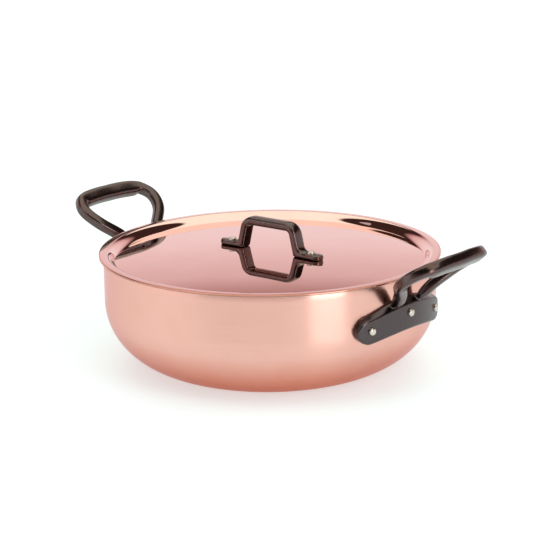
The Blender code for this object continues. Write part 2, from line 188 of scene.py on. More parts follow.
class PanColours(bpy.types.PropertyGroup):
    """Colours, as sRGB hex values"""

    copper: hex_colour("Copper", "Bare polished copper of the lid", "EECBC6")
    copper_side: hex_colour("Brushed copper", "Copper of the body", "E8B3A6")
    # Painted shade: this darker, warmer copper is painted on the body's lowest 45 mm and on the
    # lid's rolled edge, where the table's shadow, copper light bounced off the table and darker
    # reflections fall
    copper_warm: hex_colour("Warm copper", "Copper warmed by the buffing wheel", "CE6A38")
    iron: hex_colour("Cast iron", "Blackened cast iron", "5B5658")
    iron_warm: hex_colour("Warm iron", "A trace of rust in the grain", "634840")
    iron_ground: hex_colour("Ground iron", "Face that was ground flat", "514A4C")
    steel: hex_colour("Steel", "Brushed stainless steel", "CFCBC6")
    rivet: hex_colour("Rivet", "Polished stainless steel", "C8BDAE")
    floor: hex_colour("Table", "Pale table", "C9D8DD")


class StudioSettings(bpy.types.PropertyGroup):
    """Camera and light"""

    lens: FloatProperty(name="Focal length", description="Lens on a 36 mm sensor", default=122.143)
    distance: length("Distance", "Camera to the pan's base", 1.65337)
    elevation: angle("Elevation", "How far the camera looks down", 15.476)
    azimuth: angle("Azimuth", "How far the camera stands round the pan", 40.2)
    roll: angle("Roll", "How far the camera leans", 0.639)
    shift_x: length("Right", "Camera moved to its right", 0.008413, -1.0)
    shift_y: length("Up", "Camera moved up its own frame", 0.069159, -1.0)


# Meshes

def skin(name, grid):
    """A closed mesh over a grid of points: neighbours in rows and columns share a face.

    Points that coincide, at a pole or along a seam, are welded, faces that shrink to a line are
    dropped, and the whole is turned so that its signed volume, a sixth of the sum of the triple
    products of each face's corners, is positive. Only edges past the sharp angle stay sharp.
    """
    points = np.round(grid.reshape(-1, 3), WELD_DIGITS)
    points, which = np.unique(points, axis=0, return_inverse=True)
    index = which.reshape(grid.shape[:2])
    quads = np.stack([index[:-1, :-1], index[1:, :-1], index[1:, 1:], index[:-1, 1:]], -1)
    quads = quads.reshape(-1, 4)
    a, b, c, d = (points[quads[:, i]] for i in range(4))
    volume = (np.cross(a, b) * c).sum() + (np.cross(a, c) * d).sum()
    if volume < 0:
        quads = quads[:, ::-1]
    kept = quads != np.roll(quads, 1, axis=1)
    sizes = kept.sum(1)
    kept &= (sizes > 2)[:, None]
    sizes = sizes[sizes > 2]
    corners = quads[kept]
    mesh = bpy.data.meshes.new(name)
    mesh.vertices.add(len(points))
    mesh.vertices.foreach_set("co", points.astype(np.float32).ravel())
    mesh.loops.add(len(corners))
    mesh.loops.foreach_set("vertex_index", corners.astype(np.int32))
    mesh.polygons.add(len(sizes))
    starts = np.concatenate([[0], np.cumsum(sizes)[:-1]])
    mesh.polygons.foreach_set("loop_start", starts.astype(np.int32))
    mesh.update(calc_edges=True)
    mesh.validate()
    mesh.shade_smooth()
    mesh.set_sharp_from_angle(angle=SHARP_ANGLE)
    return mesh


def full_turn(steps):
    """Angles once round in equal steps, the last exactly the first."""
    turn = np.linspace(0.0, 2 * np.pi, steps + 1)
    turn[-1] = 0.0
    return turn


def superellipse(turn, power):
    """The unit cosine and sine at each angle, both taken to a power that squares their circle."""
    parts = np.cos(turn), np.sin(turn)
    return [np.sign(part) * np.abs(part) ** power for part in parts]


def unit(vectors):
    """Each vector drawn to length one."""
    return vectors / np.linalg.norm(vectors, axis=1)[:, None]


def turned(profile, steps):
    """The profile's points (radius, height) carried round the Z axis in equal turns."""
    profile = np.asarray(profile)
    turn = full_turn(steps)
    radius = profile[:, 0, None]
    height = np.broadcast_to(profile[:, 1, None], (len(profile), steps + 1))
    return np.stack([radius * np.cos(turn), radius * np.sin(turn), height], -1)


def capped(grid, start, end):
    """The grid with one more row at each end, all of it at one point, so that both ends close."""
    row = grid[:1].shape
    return np.concatenate([np.broadcast_to(start, row), grid, np.broadcast_to(end, row)])


def shifted(profile, distance):
    """The profile moved by a distance to the left of its own direction at each point."""
    along = unit(np.gradient(profile, axis=0))
    moved = profile + distance * np.stack([-along[:, 1], along[:, 0]], -1)
    moved[:, 0] = np.where(profile[:, 0] == 0.0, 0.0, moved[:, 0])
    return moved


def rounded_edge(start, end, bulge, count=9):
    """Points from start to end along half an ellipse that stands out by bulge to the left."""
    start, end = np.asarray(start), np.asarray(end)
    half = (end - start) / 2
    out = np.array([-half[1], half[0]]) / np.hypot(*half)
    turn = np.linspace(0.0, np.pi, count)[1:-1, None]
    return (start + end) / 2 - half * np.cos(turn) + out * bulge * np.sin(turn)


def spline(points, steps):
    """A Catmull-Rom curve: each stretch is the cubic whose end slopes are half the chord."""
    points = np.asarray(points, float)
    ends = np.vstack([2 * points[0] - points[1], points, 2 * points[-1] - points[-2]])
    t = np.linspace(0.0, 1.0, steps, endpoint=False)[None, :, None]
    a, b, c, d = (ends[i:len(ends) - 3 + i, None, :] for i in range(4))
    bend = (c - a) * t + (2 * a - 5 * b + 4 * c - d) * t**2 + (3 * b - a - 3 * c + d) * t**3
    curve = b + bend / 2
    return np.vstack([curve.reshape(-1, points.shape[1]), points[-1]])


def placed(grid, matrix):
    """The grid's points taken through a 4 by 4 matrix."""
    matrix = np.array(matrix)
    return grid @ matrix[:3, :3].T + matrix[:3, 3]


def show(name, mesh, material, body, slot, *nodes):
    """A finished piece that rides on a body, takes a finish and stands for CAD nodes. The slot is
    not used.
    """
    piece = bpy.data.objects.new(name, mesh)
    bpy.context.scene.collection.objects.link(piece)
    mesh.materials.append(material)
    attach(piece, body)
    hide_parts(*nodes)


# Shapes

def pan_side(pan, inset):
    """Rim to the base's middle: a straight wall, a quarter ellipse, then the flat base."""
    straight, curved = 7, 56
    centre = pan.radius - pan.curve_width
    wall = np.linspace(pan.height - RIM_ROLL, pan.curve_height, straight + 1)[:-1]
    turn = np.linspace(0.0, np.pi / 2, curved)
    wide, high = pan.curve_width - inset, pan.curve_height - inset
    base = np.linspace(centre, 0.0, straight + 1)[1:]
    radius = [np.full(straight, pan.radius - inset), centre + wide * np.cos(turn), base]
    height = [wall, pan.curve_height - high * np.sin(turn), np.full(straight, inset)]
    return np.stack([np.concatenate(radius), np.concatenate(height)], -1)


def pan_layer(pan, outer, inner):
    """One layer of the pan: its outer side down, its inner side up, and a rounded rim."""
    down, up = pan_side(pan, outer), pan_side(pan, inner)[::-1]
    rim = rounded_edge(up[-1], down[0], RIM_ROLL)
    return np.vstack([down, up, rim, down[:1]])


def lid_top(lid, radius):
    """Height of the lid's top: a crowned disc, a rising band shaped as a cosine, a drooping flange.

    The band's cosine is drawn out towards the crest, so that it turns over more softly there.
    """
    draw, bend = 1.28, 0.8 * np.pi
    crease = lid.crest_radius - lid.band
    disc = LID_CREST - lid.recess + lid.crown * (1 - (radius / crease) ** 2)
    share = np.clip((lid.crest_radius - radius) / lid.band, 0.0, 1.0) ** draw
    band = LID_CREST - lid.recess * (1 - np.cos(bend * share)) / (1 - math.cos(bend))
    out = (radius - lid.crest_radius) / (lid.radius - lid.crest_radius)
    flange = LID_CREST - lid.edge_drop * out**2
    return np.where(radius <= crease, disc, np.where(radius <= lid.crest_radius, band, flange))


def lid_layer(lid, upper, lower):
    """One layer of the lid between two depths below its top face, with a rounded edge."""
    on_disc, on_band, on_flange = 40, 36, 14
    crease = lid.crest_radius - lid.band
    bulge = (lower - upper) / 2
    radius = np.concatenate([
        np.linspace(0.0, crease, on_disc)[:-1],
        np.linspace(crease, lid.crest_radius, on_band)[:-1],
        np.linspace(lid.crest_radius, lid.radius - bulge, on_flange),
    ])
    top = np.stack([radius, lid_top(lid, radius)], -1)
    above, below = shifted(top, -upper), shifted(top, -lower)[::-1]
    edge = rounded_edge(above[-1], below[0], bulge)
    return np.vstack([above, edge, below])


def plate_grid(size, radius):
    """The riveted plate: a six-cornered upright section carried along the pan's wall.

    Its half height falls to nothing at the round ends as a circle does, and its two edges rise
    to the arch in the middle as a sine. The bevel under the upper edge grows with the arch, and
    the face falls back a little towards each tip. Each section is bent to the wall by its own
    angle, and each tip closes at the middle of its section.
    """
    tip, tip_steps, run_steps = 0.02, 24, 59
    bevel_low, bevel_more = 0.003, 0.003
    draft, draft_from = 0.0013, 0.6
    back_bevel, under_bevel = 0.0012, 0.0013
    share = np.cos(np.linspace(tip, np.pi / 2, tip_steps))
    end = size.end_radius * np.sqrt(1 - share**2)
    rise = np.sin(np.linspace(0.0, np.pi / 2, run_steps + 1))[1:]
    run = size.end_arc * (1 - np.linspace(0.0, 1.0, run_steps + 1))[1:]
    low_end, high_end = size.end_height - size.end_radius, size.end_height + size.end_radius
    half = [
        (size.end_arc + size.end_radius * share, run),
        (size.end_height - end, low_end + (size.middle_low - low_end) * rise),
        (size.end_height + end, high_end + (size.middle_high - high_end) * rise),
        (np.full(tip_steps, bevel_low), bevel_low + bevel_more * rise),
        (draft * np.clip(share - draft_from, 0.0, None) / (1 - draft_from), np.zeros(run_steps)),
    ]
    arc, low, high, bevel, inset = (np.concatenate(parts) for parts in half)
    arc = np.concatenate([arc, -arc[-2::-1]])
    low, high, bevel, inset = (np.concatenate([x, x[-2::-1]]) for x in (low, high, bevel, inset))
    back = np.full(len(arc), radius + size.gap)
    front = back + size.plate - inset
    under = np.minimum(under_bevel, (high - low) / 4)
    drop = np.minimum(bevel, (high - low) / 3)
    middle = (back + front) / 2
    out = [back, back, back + back_bevel, front, front, front - under, back, middle]
    up = [low, high, high, high - drop, low + under, low, low, (low + high) / 2]
    out, up = np.stack(out, -1), np.stack(up, -1)
    turn = (arc / radius)[:, None]
    points = np.stack([out * np.cos(turn), out * np.sin(turn), up], -1)
    return capped(points[:, :-1], points[0, -1], points[-1, -1])


def loop_grid(size, radius, top):
    """The cast loop: a rounded section carried along a curve through listed stations.

    The curve leaves the plate, spreads as it rises, turns in at the corners and bows out along
    the grip. The section is a superellipse whose width and depth follow the stations.
    """
    sunk, steps, section_steps, squareness = 0.006, 14, 40, 0.55
    low = size.middle_high - sunk
    rise = top - low
    back = radius + size.gap
    front = back + size.plate
    grip = radius + size.reach
    reach = grip - front
    root, bow = size.root, size.bow
    flare = size.half_width - root
    arm, deep = size.arm_width, size.arm_depth
    wide, thick = size.grip_width, size.grip_depth
    # From inside the plate, up one arm and round its corner to the middle of the grip. Each row
    # has how far out, how far aside and how high it is, and half the section's width and depth.
    stations = np.array([
        (back + size.plate / 2, root * 0.95, low + rise * 0.05, arm * 0.46, deep * 0.16),
        (front + reach * 0.01, root, low + rise * 0.13, arm * 0.50, deep * 0.44),
        (front + reach * 0.16, root + flare * 0.24, low + rise * 0.34, arm / 2, deep / 2),
        (front + reach * 0.40, root + flare * 0.82, low + rise * 0.615, arm / 2, deep / 2),
        (front + reach * 0.68, root + flare * 1.027, low + rise * 0.83, arm / 2, deep / 2),
        (grip - bow * 2.4, root + flare * 0.8, low + rise * 0.968, arm * 0.51, deep * 0.53),
        (grip - bow, root + flare * 0.487, low + rise * 0.983, wide * 0.48, thick * 0.49),
        (grip - bow * 0.3, size.half_width * 0.36, top, wide / 2, thick / 2),
        (grip, 0.0, top, wide / 2, thick / 2),
    ])
    mirrored = stations[-2::-1] * np.array([1, -1, 1, 1, 1])
    rows = spline(np.vstack([stations, mirrored]), steps)
    lean = math.atan2(rise, reach)
    across = np.array([-math.sin(lean), 0.0, math.cos(lean)])
    here = rows[:, :3]
    along = unit(np.gradient(here, axis=0))
    side = unit(np.cross(along, across))
    over = np.cross(side, along)
    width, depth = superellipse(full_turn(section_steps), squareness)
    ring = side[:, None] * (width * rows[:, 3, None])[..., None]
    ring = ring + over[:, None] * (depth * rows[:, 4, None])[..., None]
    return capped(here[:, None] + ring, here[0], here[-1])


def filleted(corners, runs=24, turns=14):
    """A path through (x, z, radius) corners, each rounded by an arc that touches both sides."""
    parts = []
    here = np.array(corners[0][:2])
    for i in range(1, len(corners) - 1):
        corner, radius = np.array(corners[i][:2]), corners[i][2]
        back = np.array(corners[i - 1][:2]) - corner
        on = np.array(corners[i + 1][:2]) - corner
        back, on = back / np.hypot(*back), on / np.hypot(*on)
        half = math.acos(float(np.clip(back @ on, -1, 1))) / 2
        start = corner + back * radius / math.tan(half)
        end = corner + on * radius / math.tan(half)
        centre = corner + (back + on) / np.hypot(*(back + on)) * radius / math.sin(half)
        share = np.linspace(0.0, 1.0, runs, endpoint=False)[:, None]
        parts.append(here + (start - here) * share)
        sweep = np.pi - 2 * half
        swing = np.linspace(0.0, sweep, turns, endpoint=False)[:, None]
        arc = (start - centre) * np.sin(sweep - swing) + (end - centre) * np.sin(swing)
        parts.append(centre + arc / math.sin(sweep))
        here = end
    share = np.sin(np.linspace(0.0, np.pi / 2, runs))[:, None]
    parts.append(here + (np.array(corners[-1][:2]) - here) * share)
    return np.vstack(parts)


def lid_handle_grid(size):
    """The lid's handle: a rounded oblong section between an inner and an outer guide line.

    Both guides run from the bar's middle, round the shoulder, down the leg and out along the
    foot. The section spans them, and its half width falls to nothing at the foot's round end as
    a circle does.
    """
    heel, section_steps, squareness = 0.0012, 48, 0.64
    end = size.length / 2
    inner_foot, inner_top = size.opening_foot / 2, size.opening_top / 2
    bar_low = size.height - size.bar
    lean = (inner_foot - inner_top) / bar_low
    leg = size.bar * math.hypot(1.0, lean)
    inner = [
        (0, bar_low),
        (inner_top, bar_low, size.inner_corner),
        (inner_foot, 0, heel),
        (end, 0),
    ]
    outer = [
        (0, size.height),
        (inner_foot - lean * size.height + leg, size.height, size.shoulder),
        (inner_foot - lean * size.foot + leg, size.foot, size.instep),
        (end, size.foot),
    ]
    guides = (filleted(corners) for corners in (inner, outer))
    mirror = np.array([-1, 1])
    inner, outer = (np.vstack([guide[::-1] * mirror, guide[1:]]) for guide in guides)
    wide, thick = superellipse(full_turn(section_steps), squareness)
    middle, half = (inner + outer) / 2, (outer - inner) / 2
    point = middle[:, None] + half[:, None] * thick[None, :, None]
    radius = size.width / 2
    past = np.clip((np.abs(point[..., 0]) - (end - radius)) / radius, 0.0, 1.0)
    return np.stack([point[..., 0], radius * np.sqrt(1 - past**2) * wide, point[..., 1]], -1)


def rivet_profile(button, rise, sunk, grip, head):
    """Button, shank and inner head: the button is a flattened dome, a superellipse in section.

    The button's edge is sunk a little into its seat, and the shank runs through the whole grip.
    """
    shank, head_rise = 0.002, 0.0018
    button_steps, button_power, head_steps, head_power = 16, 0.55, 12, 0.6
    wide, high = superellipse(np.linspace(np.pi / 2, 0.0, button_steps), button_power)
    dome = np.stack([button * wide, rise * high], -1)
    neck = [(button, -sunk), (shank, -sunk), (shank, -grip)]
    turn = np.linspace(0.0, np.pi / 2, head_steps)
    under = np.stack([head * np.cos(turn) ** head_power, -grip - head_rise * np.sin(turn)], -1)
    profile = np.vstack([dome, neck, under])
    profile[0, 0] = profile[-1, 0] = 0.0
    return profile


# Finishes

def linear(value):
    """A colour in linear light from an sRGB hex value."""
    shares = [int(value[i:i + 2], 16) / 255 for i in (0, 2, 4)]
    return (*(s / 12.92 if s <= 0.04045 else ((s + 0.055) / 1.055) ** 2.4 for s in shares), 1.0)


def link(tree, node, links):
    """Links a node's inputs, by name or number, to the outputs of others."""
    for key, source in links.items():
        tree.links.new(source, node.inputs[key])


def add(tree, kind, settings, links):
    """Adds a node, gives it its settings and links its inputs, both by name or number."""
    node = tree.nodes.new(kind)
    for key, value in settings.items():
        if key in node.bl_rna.properties.keys():
            setattr(node, key, value)
        else:
            node.inputs[key].default_value = value
    link(tree, node, links)
    return node


def patches(size, detail=3.0):
    """Settings of a soft noise with patches of a real size in metres."""
    return {"Scale": 1.0 / size, "Detail": detail, "Roughness": 0.55}


def spread(low, high, start=0.3, end=0.7):
    """Settings that spread a pattern's usual range, start to end, over low to high."""
    return {1: start, 2: end, 3: low, 4: high}


def two_colours(first, second):
    """Settings that mix two hex colours."""
    return {"data_type": "RGBA", 6: linear(first), 7: linear(second)}


def plain(name, colour, roughness, metallic=1.0):
    """A material of one even finish, its nodes, its shader and its Object coordinates."""
    material = bpy.data.materials.new(name)
    material.use_nodes = True
    tree = material.node_tree
    shader = tree.nodes["Principled BSDF"]
    shader.inputs["Metallic"].default_value = metallic
    shader.inputs["Base Color"].default_value = linear(colour)
    shader.inputs["Roughness"].default_value = roughness
    place = add(tree, "ShaderNodeTexCoord", {}, {}).outputs["Object"]
    return material, tree, shader, place


def surfaced(tree, shader, marks, gloss, depth, strength, height=None):
    """Marks spread the roughness over gloss, and they or a height stand out by a real depth."""
    rough = add(tree, "ShaderNodeMapRange", spread(*gloss), {0: marks})
    settings = {"Strength": strength, "Distance": depth}
    bump = add(tree, "ShaderNodeBump", settings, {"Height": marks if height is None else height})
    link(tree, shader, {"Roughness": rough.outputs[0], "Normal": bump.outputs[0]})


def from_axis(tree, place):
    """How far a point is from Z, and how high."""
    split = add(tree, "ShaderNodeSeparateXYZ", {}, {0: place})
    flat = add(tree, "ShaderNodeCombineXYZ", {}, {0: split.outputs[0], 1: split.outputs[1]})
    radius = add(tree, "ShaderNodeVectorMath", {"operation": "LENGTH"}, {0: flat.outputs[0]})
    return radius.outputs["Value"], split.outputs[2]


def lathe_marks(tree, place, spacing, detail):
    """Soft noise that changes with radius and height over the spacing, and over 50 mm around."""
    length_around, scaled = 0.05, {"operation": "SCALE"}
    radius, height = from_axis(tree, place)
    both = add(tree, "ShaderNodeCombineXYZ", {}, {0: radius, 2: height}).outputs[0]
    quick = add(tree, "ShaderNodeVectorMath", scaled | {"Scale": 1 / spacing}, {0: both})
    around = add(tree, "ShaderNodeVectorMath", scaled | {"Scale": 1 / length_around}, {0: place})
    both = {0: quick.outputs[0], 1: around.outputs[0]}
    both = add(tree, "ShaderNodeVectorMath", {"operation": "ADD"}, both).outputs[0]
    return add(tree, "ShaderNodeTexNoise", patches(1.0, detail), {"Vector": both}).outputs["Fac"]


def buffed_copper(colours):
    """Spun copper sheet, buffed on a wheel: a pink mirror, a little clouded by handling."""
    material, tree, shader, place = plain("buffed_copper", colours.copper, 0.03)
    # Handling leaves warmer patches about 30 mm across.
    cloud = add(tree, "ShaderNodeTexNoise", patches(0.030), {"Vector": place}).outputs["Fac"]
    cloud = add(tree, "ShaderNodeMapRange", spread(0.0, 0.08), {0: cloud}).outputs[0]
    # Painted shade: the rolled edge, 144 to 146 mm from the middle, is tinted darker and warmer,
    # standing in for the darker reflection along the lid's edge.
    edge = {0: from_axis(tree, place)[0]}
    edge = add(tree, "ShaderNodeMapRange", spread(0.0, 0.6, 0.1440, 0.1458), edge).outputs[0]
    # The tone takes the larger of the handling patches and the painted shade on the edge.
    tone = add(tree, "ShaderNodeMath", {"operation": "MAXIMUM"}, {0: cloud, 1: edge}).outputs[0]
    tones = two_colours(colours.copper, colours.copper_warm)
    colour = add(tree, "ShaderNodeMix", tones, {0: tone}).outputs[2]
    link(tree, shader, {"Base Color": colour})
    # Buffing rings are a few hundredths of a millimetre apart; 0.8 mm shows in the picture.
    marks = lathe_marks(tree, place, 0.0008, 2.0)
    surfaced(tree, shader, marks, gloss=(0.02, 0.045), depth=0.00001, strength=0.02)
    return material


def brushed_copper(colours):
    """Copper brushed round on the lathe: a satin that draws each light out up and down."""
    material, tree, shader, place = plain("brushed_copper", colours.copper_side, 0.25)
    # Light that skims brushed copper stays pink.
    shader.inputs["Specular Tint"].default_value = (0.86, 0.70, 0.72, 1.0)
    shader.inputs["Anisotropic"].default_value = 0.9
    shader.inputs["Anisotropic Rotation"].default_value = 0.25
    tangent = add(tree, "ShaderNodeTangent", {"direction_type": "RADIAL", "axis": "Z"}, {})
    # Painted shade: the lowest 45 mm turn darker and warmer towards the base, standing in for the
    # table's shadow under the pan and the copper light bounced back onto it.
    low = {0: from_axis(tree, place)[1]}
    low = add(tree, "ShaderNodeMapRange", spread(0.0, 1.0, 0.045, 0.0), low).outputs[0]
    # Handling leaves paler and warmer patches about 22 mm across.
    cloud = add(tree, "ShaderNodeTexNoise", patches(0.022), {"Vector": place}).outputs["Fac"]
    cloud = add(tree, "ShaderNodeMapRange", spread(-0.04, 0.04), {0: cloud}).outputs[0]
    # The tone adds the handling patches to the painted shade at the base.
    tone = {"operation": "ADD", "use_clamp": True}
    tone = add(tree, "ShaderNodeMath", tone, {0: low, 1: cloud}).outputs[0]
    tones = two_colours(colours.copper_side, colours.copper_warm)
    colour = add(tree, "ShaderNodeMix", tones, {0: tone}).outputs[2]
    link(tree, shader, {"Base Color": colour, "Tangent": tangent.outputs[0]})
    # Brush marks are a tenth of a millimetre apart; 0.7 mm shows in the picture.
    marks = lathe_marks(tree, place, 0.0007, 3.0)
    surfaced(tree, shader, marks, gloss=(0.23, 0.27), depth=0.00001, strength=0.03)
    return material


def blacked_iron(colours):
    """Sand-cast iron, ground, blackened and waxed: a dark metal gloss with brown patches."""
    material, tree, shader, place = plain("blacked_iron", colours.iron, 0.3)
    # Sand grains are 0.2 to 0.4 mm across; 0.7 mm shows in the picture, over ripples of 3 mm.
    grain = add(tree, "ShaderNodeTexNoise", patches(0.0007, 2.0), {"Vector": place}).outputs["Fac"]
    ripple = add(tree, "ShaderNodeTexNoise", patches(0.003, 2.0), {"Vector": place}).outputs["Fac"]
    tone = add(tree, "ShaderNodeMapRange", spread(0.0, 1.0, 0.35, 0.70), {0: ripple}).outputs[0]
    tones = two_colours(colours.iron, colours.iron_warm)
    cast = add(tree, "ShaderNodeMix", tones, {0: tone}).outputs[2]
    # The plates' faces, 149 mm from the middle, were ground flat and are greyer.
    face, within, beyond, share = 0.149, 0.0042, 0.0062, 0.75
    away = {"operation": "SUBTRACT", 1: face}
    away = add(tree, "ShaderNodeMath", away, {0: from_axis(tree, place)[0]}).outputs[0]
    away = add(tree, "ShaderNodeMath", {"operation": "ABSOLUTE"}, {0: away}).outputs[0]
    ground = spread(share, 0.0, within, beyond)
    ground = add(tree, "ShaderNodeMapRange", ground, {0: away}).outputs[0]
    tones = {"data_type": "RGBA", 7: linear(colours.iron_ground)}
    colour = add(tree, "ShaderNodeMix", tones, {0: ground, 6: cast}).outputs[2]
    link(tree, shader, {"Base Color": colour})
    # The grain stands out a third as far as the ripples.
    height = {"operation": "MULTIPLY_ADD", 1: 0.35}
    height = add(tree, "ShaderNodeMath", height, {0: grain, 2: ripple}).outputs[0]
    surfaced(tree, shader, grain, (0.14, 0.28), depth=0.0002, strength=0.18, height=height)
    return material


def satin_steel(colours):
    """Stainless steel sheet, brushed round: pale grey and softly lined."""
    material, tree, shader, place = plain("satin_steel", colours.steel, 0.28)
    # Brush marks are a tenth of a millimetre apart; 0.8 mm shows in the picture.
    marks = lathe_marks(tree, place, 0.0008, 3.0)
    tone = add(tree, "ShaderNodeMapRange", spread(0.0, 1.0), {0: marks}).outputs[0]
    tones = two_colours(colours.steel, colours.rivet)
    colour = add(tree, "ShaderNodeMix", tones, {0: tone}).outputs[2]
    link(tree, shader, {"Base Color": colour})
    surfaced(tree, shader, marks, gloss=(0.24, 0.34), depth=0.00002, strength=0.12)
    return material


def headed_steel(colours):
    """Stainless rivets, headed cold and tumbled: smooth and pale, with faint dents."""
    material, tree, shader, place = plain("headed_steel", colours.rivet, 0.2)
    # Tumbling leaves dents about 1 mm across.
    dents = add(tree, "ShaderNodeTexNoise", patches(0.0012, 2.0), {"Vector": place}).outputs["Fac"]
    tone = add(tree, "ShaderNodeMapRange", spread(0.0, 1.0), {0: dents}).outputs[0]
    tones = two_colours(colours.rivet, colours.steel)
    colour = add(tree, "ShaderNodeMix", tones, {0: tone}).outputs[2]
    link(tree, shader, {"Base Color": colour})
    surfaced(tree, shader, dents, gloss=(0.16, 0.24), depth=0.00003, strength=0.04)
    return material


def lit_acrylic(colours):
    """The table, matt white acrylic lit from below: white, with a pale shadow."""
    material, tree, shader, place = plain("lit_acrylic", colours.floor, 0.7, metallic=0.0)
    shader.inputs["Specular IOR Level"].default_value = 0.1
    shader.inputs["Emission Color"].default_value = (0.93, 0.99, 1.0, 1.0)
    shader.inputs["Emission Strength"].default_value = 0.56
    # The matt coat is a little uneven, in patches of 4 mm.
    coat = add(tree, "ShaderNodeTexNoise", patches(0.004, 2.0), {"Vector": place}).outputs["Fac"]
    rough = add(tree, "ShaderNodeMapRange", spread(0.66, 0.74), {0: coat})
    link(tree, shader, {"Roughness": rough.outputs[0]})
    return material


def finish(maker, colours):
    """The material that a maker gives, made once."""
    return bpy.data.materials.get(maker.__name__) or maker(colours)


# Operators

class SAUTEPAN_OT_pan(bpy.types.Operator):
    """Spin the pan: a copper body and its steel lining"""

    bl_idname = "sautepan.pan"
    bl_label = "Pan body"

    def execute(self, context):
        pan, colours = context.scene.saute_pan.pan, context.scene.saute_pan.colours
        layers = (
            ("spun_copper_body", (0.0, pan.copper + OVERLAP), brushed_copper, "copper"),
            ("pressed_steel_lining", (pan.copper, pan.wall), satin_steel, "steel_lining"),
        )
        for name, depths, maker, slot in layers:
            mesh = skin(name, turned(pan_layer(pan, *depths), PAN_STEPS))
            show(name, mesh, finish(maker, colours), "pan", slot, f"pan_{slot}")
        return {"FINISHED"}


class SAUTEPAN_OT_side_handles(bpy.types.Operator):
    """Cast both side handles: plate and loop become one body with soft inner corners"""

    bl_idname = "sautepan.side_handles"
    bl_label = "Side handles"

    def execute(self, context):
        sizes = context.scene.saute_pan
        size, radius = sizes.side_handle, sizes.pan.radius
        iron = finish(blacked_iron, sizes.colours)
        voxel, passes = 0.00055, 18
        hands = (("right", 0.0, size.top), ("left", math.pi, size.top + size.left_rise))
        for hand, turn, top in hands:
            both = bmesh.new()
            both.from_mesh(skin("plate", plate_grid(size, radius)))
            both.from_mesh(skin("loop", loop_grid(size, radius, top)))
            both.transform(Matrix.Rotation(turn, 4, "Z"))
            pattern = bpy.data.objects.new("pattern", bpy.data.meshes.new("pattern"))
            both.to_mesh(pattern.data)
            both.free()
            context.scene.collection.objects.link(pattern)
            remesh = pattern.modifiers.new("one body", "REMESH")
            remesh.mode = "VOXEL"
            remesh.voxel_size = voxel
            soften = pattern.modifiers.new("soft corners", "SMOOTH")
            soften.factor = 0.5
            soften.iterations = passes
            made = pattern.evaluated_get(context.evaluated_depsgraph_get())
            cast = bpy.data.meshes.new_from_object(made)
            bpy.data.objects.remove(pattern)
            cast.materials.clear()
            cast.shade_smooth()
            name = f"{hand}_cast_handle"
            cast.name = name
            show(name, cast, iron, "pan", "cast_iron", f"{hand}_side_handle")
        return {"FINISHED"}


class SAUTEPAN_OT_side_rivets(bpy.types.Operator):
    """Set three rivets through each side handle's plate"""

    bl_idname = "sautepan.side_rivets"
    bl_label = "Side rivets"

    def execute(self, context):
        sizes = context.scene.saute_pan
        rivet, side = sizes.rivet, sizes.side_handle
        steel = finish(headed_steel, sizes.colours)
        seat = sizes.pan.radius + side.gap + side.plate
        turn = rivet.arc / sizes.pan.radius
        wall = pan_side(sizes.pan, sizes.pan.wall)[::-1]
        heights = {"near": side.end_height, "middle": rivet.middle_height, "far": side.end_height}
        sunk = 0.0006
        for hand, start in (("right", 0.0), ("left", math.pi)):
            for share, (place, height) in zip((-1, 0, 1), heights.items()):
                inner = float(np.interp(height - rivet.head, wall[:, 1], wall[:, 0]))
                grip = seat - math.sqrt(inner**2 - rivet.head**2)
                profile = rivet_profile(rivet.button, rivet.rise, sunk, grip, rivet.head)
                matrix = (
                    Matrix.Rotation(start + share * turn, 4, "Z")
                    @ Matrix.Translation((seat, 0.0, height))
                    @ Matrix.Rotation(math.pi / 2, 4, "Y")
                )
                name = f"{hand}_{place}_rivet"
                mesh = skin(name, placed(turned(profile, RIVET_STEPS), matrix))
                show(name, mesh, steel, "pan", "rivet_steel", f"{hand}_rivet_{place}")
        return {"FINISHED"}


class SAUTEPAN_OT_lid(bpy.types.Operator):
    """Spin the lid: a copper dish with a flange and its steel lining"""

    bl_idname = "sautepan.lid"
    bl_label = "Lid"

    def execute(self, context):
        lid, colours = context.scene.saute_pan.lid, context.scene.saute_pan.colours
        layers = (
            ("spun_copper_lid", (0.0, lid.copper + OVERLAP), buffed_copper, "copper"),
            ("lid_lining", (lid.copper, lid.sheet), satin_steel, "steel_lining"),
        )
        for name, depths, maker, slot in layers:
            mesh = skin(name, turned(lid_layer(lid, *depths), LID_STEPS))
            show(name, mesh, finish(maker, colours), "lid", slot, f"lid_{slot}")
        return {"FINISHED"}


class SAUTEPAN_OT_lid_handle(bpy.types.Operator):
    """Cast the lid's handle and set it on the lid"""

    bl_idname = "sautepan.lid_handle"
    bl_label = "Lid handle"

    def execute(self, context):
        sizes = context.scene.saute_pan
        grid = lid_handle_grid(sizes.lid_handle)
        grid[..., 1] += sizes.lid_handle.aside
        radius = np.hypot(grid[..., 0], grid[..., 1])
        # Up to this height the feet follow the lid's crown, and the legs take up the difference.
        settled = 0.012
        settle = np.clip(1 - grid[..., 2] / settled, 0.0, 1.0)
        middle = lid_top(sizes.lid, np.zeros(1))[0]
        grid[..., 2] += middle + (lid_top(sizes.lid, radius) - middle) * settle
        mesh = skin("cast_lid_handle", placed(grid, Matrix.Rotation(sizes.lid.turn, 4, "Z")))
        iron = finish(blacked_iron, sizes.colours)
        show("cast_lid_handle", mesh, iron, "lid", "cast_iron", "lid_handle")
        return {"FINISHED"}


